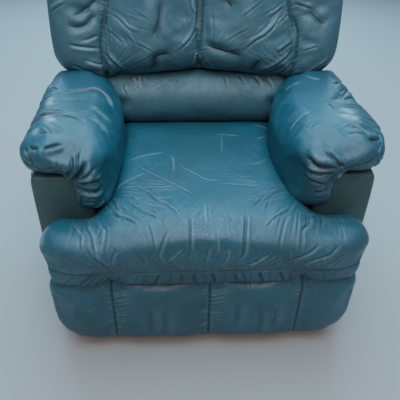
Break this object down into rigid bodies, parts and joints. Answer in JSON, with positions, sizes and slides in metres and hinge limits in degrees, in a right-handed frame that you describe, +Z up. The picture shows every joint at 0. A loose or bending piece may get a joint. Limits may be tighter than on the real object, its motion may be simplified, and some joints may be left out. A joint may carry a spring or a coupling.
{
  "type": "recliner armchair",
  "caption": "Overstuffed leather reclining armchair with padded arms, a sectioned back pillow, a lumbar roll, a wide T-shaped seat and a folding footrest.",
  "frame": {"origin": "middle of the footprint, on the floor", "axes": "+Z up; the sitter faces -Y, so +X is the sitter's left and -X is the sitter's right"},
  "size_m": [0.994, 0.8882, 1.0308],
  "materials": {
    "cushion_leather": "worn semi-gloss, creased, scuffed along its folds",
    "cover_leather": "worn satin",
    "frame_wood": "rough sawn, bare",
    "grip_wood": "dark varnish, rubbed",
    "mechanism_steel": "black enamel, rubbed at the pivots",
    "spring_steel": "dull oiled",
    "glide_plastic": "matte, scuffed"
  },
  "bodies": {
    "base": {"arm_bottom_rail_left": "frame_wood", "arm_bottom_rail_right": "frame_wood", "arm_cover_left": "cover_leather", "arm_cover_right": "cover_leather", "arm_front_post_left": "frame_wood", "arm_front_post_right": "frame_wood", "arm_pad_left": "cushion_leather", "arm_pad_right": "cushion_leather", "arm_rear_post_left": "frame_wood", "arm_rear_post_right": "frame_wood", "arm_top_rail_left": "frame_wood", "arm_top_rail_right": "frame_wood", "base_cross_front": "frame_wood", "base_cross_rear": "frame_wood", "base_runner_left": "frame_wood", "base_runner_right": "frame_wood", "foot_front_left": "glide_plastic", "foot_front_right": "glide_plastic", "foot_rear_left": "glide_plastic", "foot_rear_right": "glide_plastic", "rear_apron": "cover_leather", "seat_cushion": "cushion_leather", "seat_front_rail": "frame_wood", "seat_rear_rail": "frame_wood", "seat_side_rail_left": "frame_wood", "seat_side_rail_right": "frame_wood", "seat_spring_1": "spring_steel", "seat_spring_2": "spring_steel", "seat_spring_3": "spring_steel", "seat_spring_4": "spring_steel", "side_plate_left": "mechanism_steel", "side_plate_right": "mechanism_steel"},
    "back": {"back_bottom_rail": "frame_wood", "back_bracket_left": "mechanism_steel", "back_bracket_right": "mechanism_steel", "back_cover": "cover_leather", "back_middle_rail": "frame_wood", "back_pillow": "cushion_leather", "back_post_left": "frame_wood", "back_post_right": "frame_wood", "back_spring_1": "spring_steel", "back_spring_2": "spring_steel", "back_spring_3": "spring_steel", "back_top_rail": "frame_wood", "lumbar_roll": "cushion_leather"},
    "drive": {"drive_link_left": "mechanism_steel", "drive_link_right": "mechanism_steel", "drive_tube": "mechanism_steel", "lever_arm": "mechanism_steel", "lever_grip": "grip_wood"},
    "follower_links": {"follower_link_left": "mechanism_steel", "follower_link_right": "mechanism_steel"},
    "couplers": {"coupler_left": "mechanism_steel", "coupler_right": "mechanism_steel"},
    "tilt_rods": {"tilt_rod_left": "mechanism_steel", "tilt_rod_right": "mechanism_steel"},
    "footrest": {"footrest_board": "frame_wood", "footrest_bracket_left": "mechanism_steel", "footrest_bracket_right": "mechanism_steel", "footrest_pad": "cushion_leather"}
  },
  "joints": [
    {"name": "back_recline", "type": "hinge", "parent": "base", "child": "back", "pos_m": [0, 0.25788, 0.33], "axis": [-1, 0, 0], "range_deg": [0, 38]},
    {"name": "footrest_drive", "type": "hinge", "parent": "base", "child": "drive", "pos_m": [0, -0.18349, 0.29675], "axis": [-1, 0, 0], "range_deg": [0, 108]},
    {"name": "follower_link_swing", "type": "hinge", "parent": "base", "child": "follower_links", "pos_m": [0, -0.13894, 0.27405], "axis": [-1, 0, 0], "range_deg": [0, 108]},
    {"name": "coupler_hinge", "type": "hinge", "parent": "drive", "child": "couplers", "pos_m": [0, -0.07828, 0.08104], "axis": [-1, 0, 0], "range_deg": [-108, 0]},
    {"name": "tilt_rod_hinge", "type": "hinge", "parent": "drive", "child": "tilt_rods", "pos_m": [0, -0.09467, 0.11466], "axis": [-1, 0, 0], "range_deg": [-108, 0]},
    {"name": "footrest_tilt", "type": "hinge", "parent": "couplers", "child": "footrest", "pos_m": [0, -0.29212, 0.19], "axis": [-1, 0, 0], "range_deg": [0, 90]}
  ],
  "couplings": [
    {"joint": "follower_link_swing", "follows": "footrest_drive", "ratio": 1},
    {"joint": "coupler_hinge", "follows": "footrest_drive", "ratio": -1},
    {"joint": "tilt_rod_hinge", "follows": "footrest_drive", "ratio": -1},
    {"joint": "footrest_tilt", "follows": "footrest_drive", "ratio": 0.83333}
  ]
}
